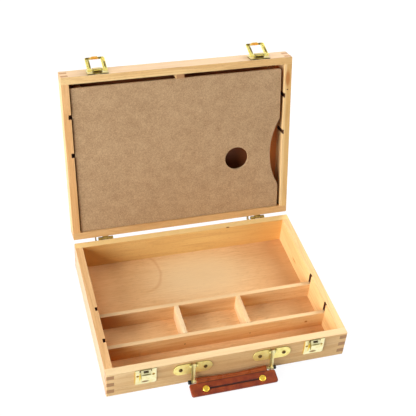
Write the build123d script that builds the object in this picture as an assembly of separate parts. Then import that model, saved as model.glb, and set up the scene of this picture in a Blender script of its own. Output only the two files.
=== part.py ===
from build123d import *
import os
from math import asin, atan2, cos, degrees, hypot, radians, sin, sqrt

# Pochade box: a shallow wooden case with a lid that stands open on stop hinges.
# Millimetres. X runs to the right, Y from the front to the back, Z up.
# The origin is the middle of the base's underside. The lid is drawn shut, then swung open.

# ---- carcass -------------------------------------------------------------------------------
box_width = 380.0
box_depth = 285.0
base_height = 50.0
lid_height = 32.4
wall = 12.0
finger = 7.7                # height of one finger of the corner joints
edge_round = 1.2            # outer edges of the carcass
panel_thickness = 3.0       # floor and lid panel
panel_rabbet = 5.0          # how far the panels reach under the walls
rim_gap = 0.4               # between the two rims when the lid is shut
lid_open_angle = 104.3      # from shut to the hinges' stop

# ---- dividers ------------------------------------------------------------------------------
divider_thickness = 7.0
divider_height = 29.0       # above the floor
divider_end_play = 0.3      # between a long divider's end and the bottom of its groove
left_groove_depth = 4.2
right_groove_depth = 1.8    # shallower: the dividers are pushed in from the left
rear_divider_from_front = 131.5    # outer front face to the divider's middle
front_divider_from_front = 66.0
short_divider_spacing = 103.6      # middle to middle

# ---- palette and what holds it in the lid --------------------------------------------------
palette_side_play = 7.0     # inside the lid, left and right together
palette_front_gap = 7.7     # between its edge and the lid's front wall
palette_thickness = 3.5
palette_side_shift = -1.5   # it lies a little to the left
palette_sunk = 3.0          # its outer face below the lid's rim
palette_play = 0.3
palette_corner = 4.0        # of the front right corner
palette_small_corner = 1.5  # of the other three
board_edge = 0.6            # eased edges of the palette and the dividers
thumb_hole_radius = 20.0
thumb_hole_from_right = 76.0       # palette's right edge to the hole's middle
thumb_hole_from_hinge = 101.0      # palette's hinge edge to the hole's middle
scoop_radius = 126.0               # hollow in the right edge, for the arm
scoop_depth = 16.0
scoop_from_hinge = 104.0
scoop_blend = 14.0
spacer_width = 13.5         # block between the palette's edge and the lid's front wall
spacer_height = 20.0
spacer_sunk = 0.5
rest_size = 10.0            # square blocks behind the palette's corners, on the lid panel
rest_inset = 10.0           # from the lid's walls

# ---- hinges --------------------------------------------------------------------------------
hinge_middle_shift = -2.7   # middle of the pair, from the middle of the box
hinge_inset = 54.25         # box's end to the hinge's middle
hinge_setback = 3.6         # hinge axis behind the back of the box
hinge_leaf_width = 30.0
hinge_leaf_height = 15.0    # from the axis
hinge_leaf_thickness = 1.4
knuckle_radius = 2.5
knuckle_outer_length = 7.0
knuckle_gap = 0.3
knuckle_run = 25.0          # all three knuckles, ending at the leaf's right edge
hinge_pin_radius = 1.0
hinge_pin_clearance = 0.05
stop_thickness = 1.6        # stop ears at the leaves' left edge
stop_reach = 8.0
stop_relief = 1.2           # hollow of the ears round the axis
stop_gap = 0.3
hinge_screw_drop = 9.5      # axis to the screws
hinge_screw_spacing = 18.0

# ---- snap latches --------------------------------------------------------------------------
latch_middle_shift = 2.2
latch_inset = 56.8          # box's end to the latch's middle
latch_width = 33.0          # plates on lid and base
latch_sheet = 1.2
latch_corner = 3.0
latch_screw_spacing = 24.0
lid_plate_sunk = 0.8        # lid plate's edge from the lid's rim
lid_plate_length = 21.7
lid_plate_screw_from_rim = 17.0
latch_pin_radius = 1.2
latch_pin_clearance = 0.05
latch_pin_from_rim = 8.0
latch_pin_standoff = 4.9    # bail axis to the lid's front face
hood_width = 15.0
hood_depth = 7.4            # hood and catch boss, from the box's face
hood_mouth_from_pin = 2.0
hood_flat = 6.5
hood_slope = 3.5
bail_width = 31.5
bail_leg = 6.6
bail_thickness = 2.4
bail_eye_radius = 2.2
bail_reach = 29.2           # axis to the outer edge of the bail's end bar
bail_bar = 3.6
bail_corner = 3.0
bail_edge = 0.6
bail_rim = 0.9              # each side of the channel in the bail's inner face
bail_channel = 1.1          # depth of that channel
bail_tab_width = 11.0       # finger tab in the middle of the bail's end bar
bail_tab_reach = 1.4
bail_rest_angle = 24.0      # between the open bail and the lid's front face
snap_clearance = 0.35       # between the bail's bar and the catch's lip
catch_height = 31.3
catch_sunk = 0.7            # catch's top edge below the base's rim
catch_screw_from_rim = 13.4
boss_width = 15.2
boss_top_depth = 2.4
boss_slope = 4.6            # height of the boss's sloping top
boss_step = 1.0
window_width = 7.6
window_height = 2.6
window_from_top = 0.6
relief_slot_width = 1.8
relief_slot_height = 4.8

# ---- handle --------------------------------------------------------------------------------
handle_middle_shift = 4.1
handle_spacing = 125.0      # strap to strap
bracket_length = 61.0
bracket_height = 23.0
bracket_sheet = 1.5
bracket_edge = 0.5
bracket_from_rim = 16.5     # base's rim to the bracket's middle
bracket_screw_spacing = 38.5
pivot_from_rim = 8.0        # base's rim to the strap's pivot
pivot_standoff = 3.4        # pivot to the box's front face
pivot_radius = 1.3
pivot_clearance = 0.06
lug_radius = 2.6
lug_length = 2.6
strap_width = 6.0
strap_side_play = 1.0
strap_thickness = 1.6
strap_groove_width = 1.9
strap_groove_depth = 1.0
strap_edge = 0.5
strap_eye_radius = 2.4
strap_rod_eye_radius = 3.0
rod_radius = 1.9
rod_height = 6.8            # rod's axis above the surface that the box stands on
rod_standoff = 6.2          # rod's axis to the box's front face
collar_radius = 2.8
collar_length = 1.4
collar_play = 0.2
cap_radius = 3.3
cap_length = 4.6
cap_play = 0.3
grip_roll_radius = 5.4
grip_roll_length = 112.0
grip_length = 137.0
grip_side_shift = -1.6      # it has slid to the left on its rod
grip_width = 25.5           # rod's axis to the lower edge
grip_root_thickness = 5.8
grip_edge_radius = 2.4
grip_corner = 3.5
grip_notch = 5.0            # rod's axis to the flap's shoulders beside the straps
grip_bore_clearance = 0.08
grip_floor_gap = 0.6        # room for the flat heads of the rivets
grip_seam_width = 2.0
grip_seam_depth = 0.8
grip_seam_end_gap = 6.0     # from a rivet's middle
rivet_spacing = 89.8
rivet_from_rod = 16.5
rivet_head_radius = 5.5
rivet_head_height = 2.0
rivet_back_height = 0.5
rivet_shank_radius = 1.5

# ---- wood screws ---------------------------------------------------------------------------
screw_length = 9.0
screw_head_share = 0.55     # countersunk depth to head radius
screw_shank_share = 0.45    # shank radius to head radius
screw_tip = 2.0
screw_clearance = 0.05
recess_width = 0.7
recess_depth = 0.9
small_screw_head = 2.2
bracket_screw_head = 3.1
bracket_screw_rise = 1.6    # rounded heads, proud of the brackets
dome_share = 0.8            # rounding of rivets and rounded screws to their height

# ---- levels and places worked out from the sizes above -------------------------------------
front = -box_depth / 2
back = box_depth / 2
inner_x = box_width / 2 - wall
inner_y = box_depth / 2 - wall
lid_rim = base_height + rim_gap
lid_top = lid_rim + lid_height
hinge_y = back + hinge_setback
hinge_z = base_height + rim_gap / 2
hinge_axis = Axis((0, hinge_y, hinge_z), (1, 0, 0))
hinge_places = {
    "left": hinge_middle_shift - box_width / 2 + hinge_inset,
    "right": hinge_middle_shift + box_width / 2 - hinge_inset,
}
latch_places = {
    "left": latch_middle_shift - box_width / 2 + latch_inset,
    "right": latch_middle_shift + box_width / 2 - latch_inset,
}
strap_places = {
    "left": handle_middle_shift - handle_spacing / 2,
    "right": handle_middle_shift + handle_spacing / 2,
}
latch_pin_y = front - latch_pin_standoff
latch_pin_z = lid_rim + latch_pin_from_rim
pivot_y = front - pivot_standoff
pivot_z = base_height - pivot_from_rim
rod_y = front - rod_standoff
bracket_z = base_height - bracket_from_rim
palette_hinge_edge = inner_y - palette_play
palette_width = 2 * inner_x - palette_side_play
palette_depth = palette_hinge_edge + inner_y - palette_front_gap
palette_z = lid_rim + palette_sunk

# the boss's lip stays just inside the arc that the bail's bar swings through
lip_arc = bail_reach - bail_bar - snap_clearance
lip_z = latch_pin_z - sqrt(lip_arc**2 - (hood_depth - latch_pin_standoff) ** 2)


# ---- shapes --------------------------------------------------------------------------------
def block(x0, x1, y0, y1, z0, z1):
    """Box between the given limits."""
    middle = Pos((x0 + x1) / 2, (y0 + y1) / 2, (z0 + z1) / 2)
    return middle * Box(x1 - x0, y1 - y0, z1 - z0)


def bar_along_x(radius, x0, x1, y, z):
    """Round bar along X."""
    return Pos((x0 + x1) / 2, y, z) * Rot(0, 90, 0) * Cylinder(radius, x1 - x0)


def prism_along_x(points, x0, x1):
    """Outline given as (y, z) points, drawn out along X."""
    outline = Plane.YZ.offset(x0) * make_face(Polyline(*points, close=True))
    return extrude(outline, x1 - x0)


def facing(x, y, z, outward):
    """Place for a thing that is drawn lying on XY and looks along outward."""
    return Plane(origin=(x, y, z), x_dir=(1, 0, 0), z_dir=outward).location


def screw_form(head_radius, grow=0.0):
    """Countersunk screw down -Z, head level with Z = 0; grow makes it the hole for itself."""
    head_depth = head_radius * screw_head_share
    shank = head_radius * screw_shank_share + grow
    foot = (Align.CENTER, Align.CENTER, Align.MIN)
    head = Pos(0, 0, -head_depth) * Cone(shank, head_radius + grow, head_depth, align=foot)
    body = Pos(0, 0, -screw_length) * Cylinder(shank, screw_length - head_depth, align=foot)
    tip = Pos(0, 0, -screw_length - screw_tip) * Cone(shank * 0.15, shank, screw_tip, align=foot)
    return head + body + tip


def dome(radius, height):
    """Rounded head that stands on XY."""
    head = Cylinder(radius, height, align=(Align.CENTER, Align.CENTER, Align.MIN))
    return fillet(head.edges().sort_by(Axis.Z)[-1], height * dome_share)


def screws_and_holes(places, head_radius, rise=0.0):
    """Screws with a cross recess at the given places, and the holes that they need."""
    screw = screw_form(head_radius)
    if rise:
        screw += dome(head_radius, rise)
    recess = Pos(0, 0, rise) * Box(head_radius * 1.2, recess_width, recess_depth * 2)
    screw = screw - recess - Rot(0, 0, 90) * recess
    hole = screw_form(head_radius, screw_clearance)
    return [place * screw for place in places], [place * hole for place in places]


def cut(solid, tools):
    """Solid with all the tools taken away."""
    for tool in tools:
        solid = solid - tool
    return solid


# ---- carcass: base and lid are the same tray, the lid turned over ---------------------------
def finger_spans(height):
    """Heights of the fingers, counted from the panel side; the last one may be cut short."""
    spans = []
    low = 0.0
    while low < height - 1e-6:
        spans.append((low, min(low + finger, height)))
        low += finger
    return spans


def tray(height, grooves):
    """Panel and four finger-jointed walls, standing on the panel side at Z = 0."""
    half_x, half_y = box_width / 2, box_depth / 2
    outside = block(-half_x, half_x, -half_y, half_y, 0, height)
    sharp = outside.edges().filter_by(Axis.Z) + outside.edges().group_by(Axis.Z)[0]
    outside = fillet(sharp, edge_round)
    reach = panel_rabbet
    panel = block(-inner_x - reach, inner_x + reach, -inner_y - reach, inner_y + reach,
                  0, panel_thickness)

    front_wall = block(-half_x, half_x, -half_y, -inner_y, 0, height)
    side_wall = block(inner_x, half_x, -half_y, half_y, 0, height)
    for number, (low, high) in enumerate(finger_spans(height)):
        if number % 2:
            for x in (-half_x, inner_x):
                front_wall -= block(x, x + wall, -half_y, -inner_y, low, high)
        else:
            for y in (-half_y, inner_y):
                side_wall -= block(inner_x, half_x, y, y + wall, low, high)
    front_wall = (front_wall & outside) - panel
    side_wall = (side_wall & outside) - panel
    side_walls = {}
    for side, depth in (("left", left_groove_depth), ("right", right_groove_depth)):
        board = side_wall
        for y in grooves:
            board -= block(inner_x, inner_x + depth, y - divider_thickness / 2,
                           y + divider_thickness / 2, panel_thickness, height)
        side_walls[side] = board

    return {
        "front_wall": front_wall,
        "back_wall": mirror(front_wall, about=Plane.XZ),
        "left_wall": mirror(side_walls["left"], about=Plane.YZ),
        "right_wall": side_walls["right"],
        "panel": panel,
    }


rear_divider_y = front + rear_divider_from_front
front_divider_y = front + front_divider_from_front
grooves = (rear_divider_y, front_divider_y)
base_tray = tray(base_height, grooves)
lid_tray = {
    name: Pos(0, 0, lid_top) * mirror(solid, about=Plane.XY)
    for name, solid in tray(lid_height, grooves).items()
}


# ---- dividers ------------------------------------------------------------------------------
def eased_top(board, along):
    """Board with its two long top edges eased."""
    return fillet(board.edges().filter_by(along).group_by(Axis.Z)[-1], board_edge)


def long_divider(y):
    """Divider across the box, its ends in the side walls' grooves."""
    left_end = -inner_x - left_groove_depth + divider_end_play
    right_end = inner_x + right_groove_depth - divider_end_play
    half = divider_thickness / 2
    top = panel_thickness + divider_height
    board = block(left_end, right_end, y - half, y + half, panel_thickness, top)
    return eased_top(board, Axis.X)


def short_divider(x):
    """Divider between the two long ones."""
    half = divider_thickness / 2
    top = panel_thickness + divider_height
    board = block(x - half, x + half, front_divider_y + half, rear_divider_y - half,
                  panel_thickness, top)
    return eased_top(board, Axis.Y)


# ---- palette, spacer and rest blocks, with the lid shut ------------------------------------
def palette():
    """Flat board with a thumb hole, a scooped right edge and rounded corners."""
    left = palette_side_shift - palette_width / 2
    right = left + palette_width
    low_y = palette_hinge_edge - palette_depth
    middle = Pos((left + right) / 2, low_y + palette_depth / 2, palette_z)
    board = middle * extrude(Rectangle(palette_width, palette_depth), palette_thickness)
    right_corners = board.edges().filter_by(Axis.Z).sort_by(Axis.X)[-2:]
    board = fillet(right_corners.sort_by(Axis.Y)[0], palette_corner)
    small_corners = [
        edge
        for edge in board.edges().filter_by(Axis.Z)
        if edge.center().X < left + 1e-3 or edge.center().Y > palette_hinge_edge - 1e-3
    ]
    board = fillet(small_corners, palette_small_corner)
    scoop = Pos(right - scoop_depth + scoop_radius, palette_hinge_edge - scoop_from_hinge,
                palette_z + palette_thickness / 2) * Cylinder(scoop_radius, palette_thickness)
    board -= scoop
    half_chord = sqrt(2 * scoop_radius * scoop_depth - scoop_depth**2)
    ends = [
        edge
        for edge in board.edges().filter_by(Axis.Z)
        if abs(edge.center().X - right) < 1e-3
        and abs(abs(edge.center().Y - palette_hinge_edge + scoop_from_hinge) - half_chord) < 1e-3
    ]
    board = fillet(ends, scoop_blend)
    hole = Pos(right - thumb_hole_from_right, palette_hinge_edge - thumb_hole_from_hinge,
               palette_z + palette_thickness / 2)
    board -= hole * Cylinder(thumb_hole_radius, palette_thickness)
    faces = board.faces().sort_by(Axis.Z)
    return fillet(faces[0].edges() + faces[-1].edges(), board_edge)


def spacer_block():
    """Block glued to the lid's front wall that keeps the palette from sliding forward."""
    near = palette_hinge_edge - palette_depth - palette_play
    low = lid_rim + spacer_sunk
    return block(-spacer_width / 2, spacer_width / 2, -inner_y, near, low, low + spacer_height)


def palette_rest(side, end):
    """Block that a corner of the palette lies against; side -1 is left, end -1 is the front."""
    x = side * (inner_x - rest_inset - rest_size / 2)
    y = end * (inner_y - rest_inset - rest_size / 2)
    half = rest_size / 2
    low = palette_z + palette_thickness + palette_play
    return block(x - half, x + half, y - half, y + half, low, lid_top - panel_thickness)


# ---- hinges --------------------------------------------------------------------------------
def leaf_direction(lid_side):
    """Which way a leaf runs from the axis: 1 up the lid, -1 down the base."""
    return 1 if lid_side else -1


def stop_ear(x, up):
    """Ear at the leaf's left edge; the two ears meet when the lid is fully open."""
    half_wedge = radians((180 - lid_open_angle) / 2)
    along_y, along_z = sin(half_wedge), cos(half_wedge)
    inset = stop_gap / 2 / along_y
    leaf_face = hinge_leaf_thickness - hinge_setback - stop_gap
    outline = [
        (leaf_face, -stop_reach),
        (leaf_face, -stop_gap),
        (-stop_gap / 2, -stop_gap / 2),
        (0.0, -inset),
        (stop_reach * along_y, -stop_reach * along_z - inset),
    ]
    points = [(hinge_y + y, hinge_z - up * z) for y, z in outline]
    ear = prism_along_x(points, x, x + stop_thickness)
    return ear - bar_along_x(stop_relief, x, x + stop_thickness, hinge_y, hinge_z)


def hinge_leaf(x, lid_side):
    """Leaf on the back of the box, its knuckles and its stop ear."""
    up = leaf_direction(lid_side)
    left, right = x - hinge_leaf_width / 2, x + hinge_leaf_width / 2
    run_start = right - knuckle_run
    inner_start = run_start + knuckle_outer_length + knuckle_gap
    inner_end = right - knuckle_outer_length - knuckle_gap
    if lid_side:
        own = [(inner_start, inner_end)]
    else:
        own = [(run_start, inner_start - knuckle_gap), (inner_end + knuckle_gap, right)]

    def plate(x0, x1, near, far):
        z0, z1 = sorted((hinge_z + up * near, hinge_z + up * far))
        return block(x0, x1, back, back + hinge_leaf_thickness, z0, z1)

    clear = knuckle_radius + 2 * knuckle_gap
    leaf = plate(left, right, clear, hinge_leaf_height)
    for x0, x1 in own:
        leaf += plate(x0, x1, 0, clear)
        leaf += bar_along_x(knuckle_radius, x0, x1, hinge_y, hinge_z)
    radius = hinge_pin_radius + (hinge_pin_clearance if lid_side else 0)
    leaf -= bar_along_x(radius, run_start, right, hinge_y, hinge_z)
    return leaf + stop_ear(left, up)


def hinge_screw_places(x, lid_side):
    """Two screws through a leaf."""
    z = hinge_z + leaf_direction(lid_side) * hinge_screw_drop
    face = back + hinge_leaf_thickness
    return [
        facing(x + side * hinge_screw_spacing / 2, face, z, (0, 1, 0)) for side in (-1, 1)
    ]


# ---- latches, with the lid shut ------------------------------------------------------------
def latch_sheet_plate(x, z0, z1, rounded_low):
    """Plate on the front of the box; its far corners are rounded."""
    half = latch_width / 2
    plate = block(x - half, x + half, front - latch_sheet, front, z0, z1)
    corners = plate.edges().filter_by(Axis.Y).sort_by(Axis.Z)
    return fillet(corners[:2] if rounded_low else corners[2:], latch_corner)


def latch_plate(x):
    """Plate on the lid with a hollow hood that holds the bail's pin in its cheeks."""
    low = lid_rim + lid_plate_sunk
    plate = latch_sheet_plate(x, low, low + lid_plate_length, rounded_low=False)
    mouth = latch_pin_z - hood_mouth_from_pin
    crown = mouth + hood_flat
    foot = crown + hood_slope
    outer = [(front, mouth), (front - hood_depth, mouth), (front - hood_depth, crown),
             (front - latch_sheet, foot), (front, foot)]
    inner = [(front, mouth), (front - hood_depth + latch_sheet, mouth),
             (front - hood_depth + latch_sheet, crown - latch_sheet / 2),
             (front - latch_sheet, foot - latch_sheet), (front, foot - latch_sheet)]
    half = hood_width / 2
    plate += prism_along_x(outer, x - half, x + half)
    plate -= prism_along_x(inner, x - half + latch_sheet, x + half - latch_sheet)
    return plate - bar_along_x(latch_pin_radius + latch_pin_clearance, x - half, x + half,
                               latch_pin_y, latch_pin_z)


def bail(x):
    """Bail as it hangs when latched: two legs with eyes, and the bar that snaps under the lip."""
    half = bail_width / 2
    low = latch_pin_z - bail_reach
    thick = bail_thickness / 2
    frame = block(x - half, x + half, latch_pin_y - thick, latch_pin_y + thick, low, latch_pin_z)
    frame = fillet(frame.edges().filter_by(Axis.Y).sort_by(Axis.Z)[:2], bail_corner)
    frame -= block(x - half + bail_leg, x + half - bail_leg, latch_pin_y - thick,
                   latch_pin_y + thick, low + bail_bar, latch_pin_z)
    faces = frame.faces().sort_by(Axis.Y)
    frame = fillet(faces[0].edges() + faces[-1].edges(), bail_edge)
    channel = block(x - half + bail_rim, x + half - bail_rim, latch_pin_y + thick - bail_channel,
                    latch_pin_y + thick, low + bail_rim, latch_pin_z - 2 * bail_eye_radius)
    channel -= block(x - half + bail_leg - bail_rim, x + half - bail_leg + bail_rim,
                     latch_pin_y, latch_pin_y + thick, low + bail_bar - bail_rim, latch_pin_z)
    tab = bail_tab_width / 2
    channel -= block(x - tab, x + tab, latch_pin_y, latch_pin_y + thick, low, low + bail_bar)
    frame -= channel
    finger_tab = block(x - tab, x + tab, latch_pin_y - thick, latch_pin_y + thick,
                       low - bail_tab_reach, low + bail_bar / 2)
    frame += fillet(finger_tab.edges().filter_by(Axis.Y).sort_by(Axis.Z)[:2], bail_tab_reach)
    for x0 in (x - half, x + half - bail_leg):
        frame += bar_along_x(bail_eye_radius, x0, x0 + bail_leg, latch_pin_y, latch_pin_z)
    return frame - bar_along_x(latch_pin_radius, x - half, x + half, latch_pin_y, latch_pin_z)


def bail_pin(x):
    """Pin pressed in the bail's eyes, turning in the hood's cheeks."""
    half = bail_width / 2
    return bar_along_x(latch_pin_radius, x - half, x + half, latch_pin_y, latch_pin_z)


def catch(x):
    """Catch plate on the base: a hollow boss, open below, with a lip for the bail's bar."""
    top = base_height - catch_sunk
    plate = latch_sheet_plate(x, top - catch_height, top, rounded_low=True)
    nose = front - hood_depth
    shelf = top - boss_slope
    outer = [(front, top), (front - boss_top_depth, top), (nose + boss_step, shelf),
             (nose + boss_step, shelf - boss_step / 2), (nose, shelf - boss_step),
             (nose, lip_z), (front, lip_z)]
    inner = [(front, top - latch_sheet), (front - boss_top_depth + latch_sheet, top - latch_sheet),
             (nose + boss_step + latch_sheet, shelf - latch_sheet / 2),
             (nose + latch_sheet, shelf - boss_step - latch_sheet), (nose + latch_sheet, lip_z),
             (front, lip_z)]
    half = boss_width / 2
    plate += prism_along_x(outer, x - half, x + half)
    plate -= prism_along_x(inner, x - half + latch_sheet, x + half - latch_sheet)
    window_top = top - window_from_top
    plate -= block(x - window_width / 2, x + window_width / 2, nose, front - latch_sheet,
                   window_top - window_height, window_top)
    for x0 in (x - half - relief_slot_width, x + half):
        plate -= block(x0, x0 + relief_slot_width, front - latch_sheet, front,
                       top - relief_slot_height, top)
    return plate


def latch_screw_places(x, z):
    """Two screws through a latch plate or a catch, one on each side."""
    face = front - latch_sheet
    return [
        facing(x + side * latch_screw_spacing / 2, face, z, (0, -1, 0)) for side in (-1, 1)
    ]


# ---- handle --------------------------------------------------------------------------------
def bracket(x):
    """Stadium plate with two lugs that hold the strap's pivot in a notch."""
    plate = extrude(SlotOverall(bracket_length, bracket_height), bracket_sheet)
    plate = fillet(plate.faces().sort_by(Axis.Z)[-1].edges(), bracket_edge)
    plate = facing(x, front, bracket_z, (0, -1, 0)) * plate
    notch = strap_width / 2 + strap_side_play
    below = strap_eye_radius + 2 * strap_side_play
    plate -= block(x - notch, x + notch, front - bracket_sheet, front, pivot_z - below,
                   bracket_z + bracket_height / 2)
    for x0 in (x - notch - lug_length, x + notch):
        plate += bar_along_x(lug_radius, x0, x0 + lug_length, pivot_y, pivot_z)
        plate += block(x0, x0 + lug_length, pivot_y, front, pivot_z - lug_radius,
                       pivot_z + lug_radius)
    return plate - bar_along_x(pivot_radius, x - notch - lug_length, x + notch + lug_length,
                               pivot_y, pivot_z)


def bracket_screw_places(x):
    """Two screws through a bracket."""
    face = front - bracket_sheet
    return [
        facing(x + side * bracket_screw_spacing / 2, face, bracket_z, (0, -1, 0))
        for side in (-1, 1)
    ]


def pivot_pin(x):
    """Pin in the bracket's lugs, on which the strap turns."""
    half = strap_width / 2 + strap_side_play + lug_length
    return bar_along_x(pivot_radius, x - half, x + half, pivot_y, pivot_z)


strap_reach = hypot(pivot_z - rod_height, pivot_y - rod_y)
strap_lean = degrees(atan2(pivot_y - rod_y, pivot_z - rod_height))


def strap(x):
    """Grooved link from the pivot down to the handle's rod, with an eye at each end."""
    half, thick = strap_width / 2, strap_thickness / 2
    link = block(-half, half, -thick, thick, -strap_reach, 0)
    link = fillet(link.edges().filter_by(Axis.Z), strap_edge)
    link += bar_along_x(strap_eye_radius, -half, half, 0, 0)
    link += bar_along_x(strap_rod_eye_radius, -half, half, 0, -strap_reach)
    link -= block(-strap_groove_width / 2, strap_groove_width / 2, -thick,
                  -thick + strap_groove_depth, strap_rod_eye_radius - strap_reach,
                  -strap_eye_radius)
    link -= bar_along_x(pivot_radius + pivot_clearance, -half, half, 0, 0)
    link -= bar_along_x(rod_radius, -half, half, 0, -strap_reach)
    return Pos(x, pivot_y, pivot_z) * Rot(-strap_lean, 0, 0) * link


rod_half = handle_spacing / 2 + strap_width / 2 + cap_play + cap_length


def handle_rod():
    """Rod through both straps and the grip, with a collar inside each strap."""
    middle = handle_middle_shift
    end = rod_half - cap_length / 2
    rod = bar_along_x(rod_radius, middle - end, middle + end, rod_y, rod_height)
    face = handle_spacing / 2 - strap_width / 2 - collar_play
    for x0 in (middle - face, middle + face - collar_length):
        rod += bar_along_x(collar_radius, x0, x0 + collar_length, rod_y, rod_height)
    return rod


def rod_cap(side):
    """Rounded cap pressed on an end of the rod."""
    outer = handle_middle_shift + side * rod_half
    inner = outer - side * cap_length
    x0, x1 = sorted((outer, inner))
    cap = bar_along_x(cap_radius, x0, x1, rod_y, rod_height)
    cap = fillet(cap.edges().sort_by(Axis.X)[-1 if side > 0 else 0], cap_radius / 2)
    return cap - handle_rod()


grip_lie = degrees(asin((rod_height - grip_edge_radius - grip_floor_gap)
                        / (grip_width - grip_edge_radius)))


def grip_place():
    """From the grip as it hangs under the rod to the grip as it lies on the table."""
    middle = handle_middle_shift + grip_side_shift
    return Pos(middle, rod_y, rod_height) * Rot(-(90 - grip_lie), 0, 0)


def grip():
    """Leather grip: a roll round the rod and a flat flap with rounded corners."""
    roll_half, half = grip_roll_length / 2, grip_length / 2
    root, edge = grip_root_thickness / 2, grip_edge_radius
    edge_z = grip_edge_radius - grip_width
    flap = prism_along_x([(-root, 0), (root, 0), (edge, edge_z), (-edge, edge_z)], -half, half)
    flap += bar_along_x(edge, -half, half, 0, edge_z)
    window = block(-half, half, -grip_width, grip_width, -grip_width, -grip_notch)
    window = fillet(window.edges().filter_by(Axis.Y), grip_corner)
    window += block(-roll_half, roll_half, -grip_width, grip_width, -grip_width / 2, 0)
    body = flap & window
    body += bar_along_x(grip_roll_radius, -roll_half, roll_half, 0, 0)
    body -= bar_along_x(rod_radius + grip_bore_clearance, -roll_half, roll_half, 0, 0)
    seam_half = rivet_spacing / 2 - grip_seam_end_gap
    face = -flap_half_thickness(rivet_from_rod)
    body -= block(-seam_half, seam_half, face - grip_seam_depth, face + grip_seam_depth,
                  -rivet_from_rod - grip_seam_width / 2, -rivet_from_rod + grip_seam_width / 2)
    for side in (-1, 1):
        shank = Pos(side * rivet_spacing / 2, 0, -rivet_from_rod) * Rot(90, 0, 0)
        body -= shank * Cylinder(rivet_shank_radius, grip_root_thickness)
    return grip_place() * body


def flap_half_thickness(depth):
    """Half the flap's thickness at a distance from the rod; it thins towards the edge."""
    share = depth / (grip_width - grip_edge_radius)
    return grip_root_thickness / 2 * (1 - share) + grip_edge_radius * share


def rivet(side):
    """Rivet through the flap: domed head in front, flat head behind."""
    half = flap_half_thickness(rivet_from_rod - rivet_head_radius)
    foot = (Align.CENTER, Align.CENTER, Align.MIN)
    head = Pos(0, 0, half) * dome(rivet_head_radius, rivet_head_height)
    flat = Pos(0, 0, -half - rivet_back_height)
    flat = flat * Cylinder(rivet_head_radius, rivet_back_height, align=foot)
    shank = Cylinder(rivet_shank_radius, 2 * half)
    place = Pos(side * rivet_spacing / 2, 0, -rivet_from_rod) * Rot(90, 0, 0)
    return grip_place() * place * (head + shank + flat)


# ---- put together --------------------------------------------------------------------------
def opened(solid):
    """From the lid's shut place to its open rest."""
    return solid.rotate(hinge_axis, -lid_open_angle)


nodes = {}

base_hinge_screws, base_hinge_holes = screws_and_holes(
    [place for x in hinge_places.values() for place in hinge_screw_places(x, False)],
    small_screw_head)
lid_hinge_screws, lid_hinge_holes = screws_and_holes(
    [place for x in hinge_places.values() for place in hinge_screw_places(x, True)],
    small_screw_head)
catch_screws, catch_holes = screws_and_holes(
    [place for x in latch_places.values()
     for place in latch_screw_places(x, base_height - catch_screw_from_rim)],
    small_screw_head)
latch_screws, latch_holes = screws_and_holes(
    [place for x in latch_places.values()
     for place in latch_screw_places(x, lid_rim + lid_plate_screw_from_rim)],
    small_screw_head)
bracket_screws, bracket_holes = screws_and_holes(
    [place for x in strap_places.values() for place in bracket_screw_places(x)],
    bracket_screw_head, bracket_screw_rise)

nodes["base_front_wall"] = cut(base_tray["front_wall"], catch_holes + bracket_holes)
nodes["base_back_wall"] = cut(base_tray["back_wall"], base_hinge_holes)
nodes["base_left_wall"] = base_tray["left_wall"]
nodes["base_right_wall"] = base_tray["right_wall"]
nodes["base_floor"] = base_tray["panel"]
nodes["rear_divider"] = long_divider(rear_divider_y)
nodes["front_divider"] = long_divider(front_divider_y)
nodes["short_divider_left"] = short_divider(-short_divider_spacing / 2)
nodes["short_divider_right"] = short_divider(short_divider_spacing / 2)

nodes["lid_front_wall"] = opened(cut(lid_tray["front_wall"], latch_holes))
nodes["lid_back_wall"] = opened(cut(lid_tray["back_wall"], lid_hinge_holes))
nodes["lid_left_wall"] = opened(lid_tray["left_wall"])
nodes["lid_right_wall"] = opened(lid_tray["right_wall"])
nodes["lid_panel"] = opened(lid_tray["panel"])
nodes["lid_spacer_block"] = opened(spacer_block())
for side, side_sign in (("left", -1), ("right", 1)):
    for end, end_sign in (("front", -1), ("back", 1)):
        nodes[f"palette_rest_{end}_{side}"] = opened(palette_rest(side_sign, end_sign))
nodes["palette"] = opened(palette())

for side, x in hinge_places.items():
    pin = bar_along_x(hinge_pin_radius, x + hinge_leaf_width / 2 - knuckle_run,
                      x + hinge_leaf_width / 2, hinge_y, hinge_z)
    nodes[f"hinge_base_leaf_{side}"] = cut(hinge_leaf(x, False), base_hinge_holes)
    nodes[f"hinge_lid_leaf_{side}"] = opened(cut(hinge_leaf(x, True), lid_hinge_holes))
    nodes[f"hinge_pin_{side}"] = pin
nodes["hinge_base_screws"] = Compound(base_hinge_screws)
nodes["hinge_lid_screws"] = opened(Compound(lid_hinge_screws))

bail_swing = bail_rest_angle - 180
for side, x in latch_places.items():
    latch_axis = Axis((x, latch_pin_y, latch_pin_z), (1, 0, 0))
    nodes[f"latch_plate_{side}"] = opened(cut(latch_plate(x), latch_holes))
    nodes[f"latch_bail_{side}"] = opened(bail(x).rotate(latch_axis, bail_swing))
    nodes[f"latch_pin_{side}"] = opened(bail_pin(x))
    nodes[f"catch_{side}"] = cut(catch(x), catch_holes)
nodes["latch_plate_screws"] = opened(Compound(latch_screws))
nodes["catch_screws"] = Compound(catch_screws)

for side, x in strap_places.items():
    nodes[f"handle_bracket_{side}"] = cut(bracket(x), bracket_holes)
    nodes[f"handle_pivot_pin_{side}"] = pivot_pin(x)
    nodes[f"handle_strap_{side}"] = strap(x)
nodes["handle_bracket_screws"] = Compound(bracket_screws)
nodes["handle_rod"] = handle_rod()
nodes["handle_rod_cap_left"] = rod_cap(-1)
nodes["handle_rod_cap_right"] = rod_cap(1)
nodes["handle_grip"] = grip()
nodes["grip_rivets"] = Compound([rivet(-1), rivet(1)])

os.makedirs("parts", exist_ok=True)
for name, solid in nodes.items():
    export_step(solid, f"parts/{name}.step")
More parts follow.
